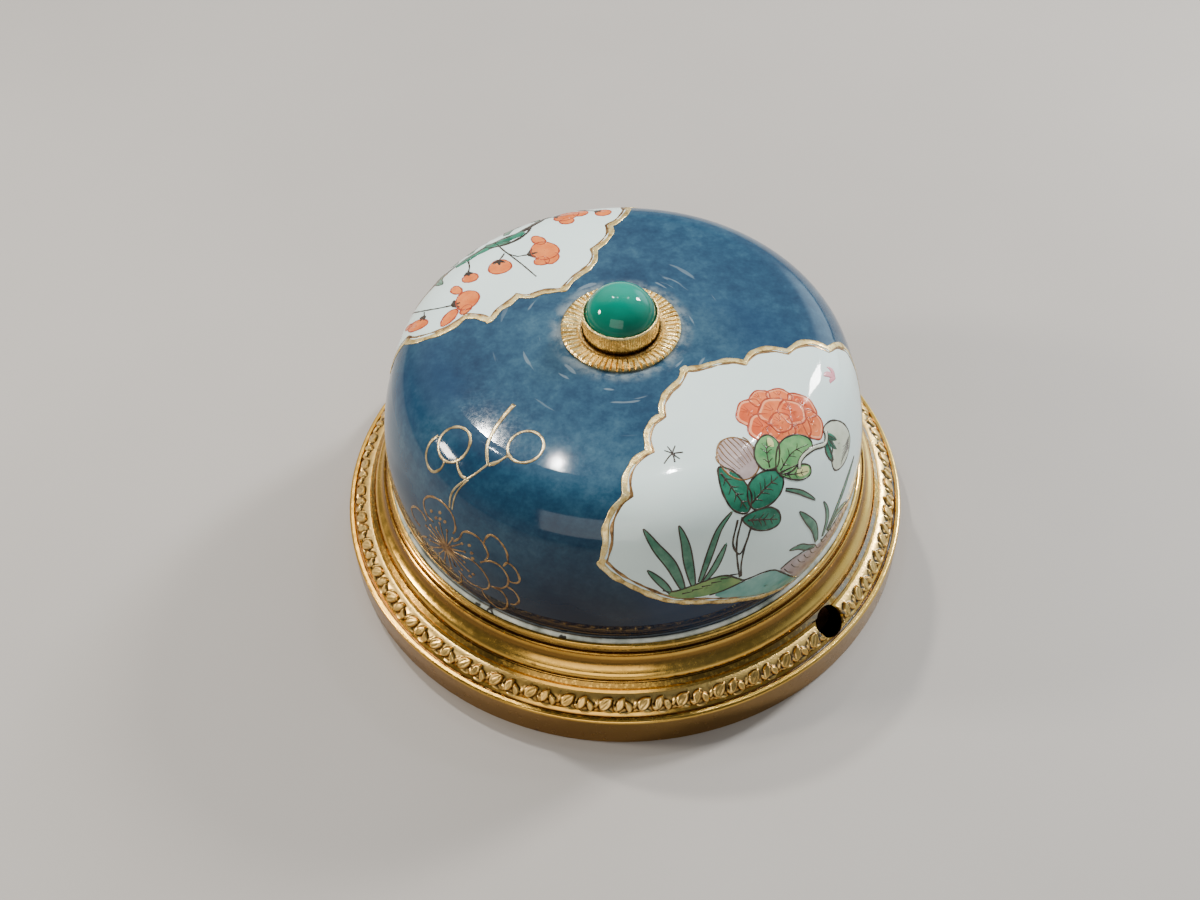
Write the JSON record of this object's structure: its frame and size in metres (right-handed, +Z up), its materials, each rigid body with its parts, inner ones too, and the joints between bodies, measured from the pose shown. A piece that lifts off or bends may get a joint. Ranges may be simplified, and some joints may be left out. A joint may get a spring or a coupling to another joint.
{
  "type": "electric table bell push",
  "caption": "Table bell push: moulded gilt ring, glazed porcelain dome and a sprung cabochon button that closes a hidden leaf contact.",
  "frame": {"origin": "centre of the resting plane under the ring", "axes": "+Z up along the button and dome axis, +X from the stem towards the fixed contact strip, -Y towards the viewer of the picture"},
  "size_m": [0.08, 0.08, 0.0432],
  "materials": {
    "gilt_bronze": "cast, chased and fire-gilt, rubbed bright on the high places",
    "gilt_fitting": "gilt, finely brushed",
    "porcelain": "mottled blue glaze, glossy",
    "cement": "pale plaster, matt",
    "green_stone": "polished cabochon",
    "brass_work": "turned brass, lightly aged",
    "steel_work": "bright steel",
    "silver_contact": "silver contact rivet",
    "ebonite": "hard rubber, dull black",
    "board_wood": "turned hardwood, oiled",
    "leather": "vegetable tanned",
    "green_baize": "felted wool"
  },
  "bodies": {
    "housing": {"base_ring": "gilt_bronze", "leaf_band": "gilt_bronze", "rosette": "gilt_fitting", "porcelain_dome": "porcelain", "rim_cement": "cement", "crown_nut": "brass_work", "guide_bush": "brass_work", "leaf_pillar": "brass_work", "leaf_tail": "brass_work", "leaf_clamp": "brass_work", "lower_strip": "brass_work", "terminal_washers": "brass_work", "strip_terminal_screw": "brass_work", "leaf_terminal_screw": "brass_work", "strip_screw": "brass_work", "return_spring": "steel_work", "board_screws": "steel_work", "block_screws": "steel_work", "lower_contact": "silver_contact", "contact_block": "ebonite", "base_board": "board_wood", "crown_washer": "leather", "felt_pad": "green_baize"},
    "button": {"cabochon": "green_stone", "bezel_cup": "gilt_fitting", "button_stem": "steel_work", "stem_collar": "brass_work", "stem_tip": "ebonite"},
    "leaf": {"contact_leaf": "brass_work", "leaf_contact": "silver_contact"}
  },
  "joints": [
    {"name": "button_press", "type": "slide", "parent": "housing", "child": "button", "axis": [0, 0, -1], "range_m": [0, 0.0016], "stiffness_N_per_m": 700, "springref_m": -0.0018, "deforming": ["return_spring"]},
    {"name": "leaf_bend", "type": "hinge", "parent": "housing", "child": "leaf", "pos_m": [-0.011, 0, 0.0162], "axis": [0, 1, 0], "range_deg": [0, 8.3]}
  ],
  "couplings": [
    {"joint": "leaf_bend", "follows": "button_press", "rad_per_m": 90.276}
  ]
}
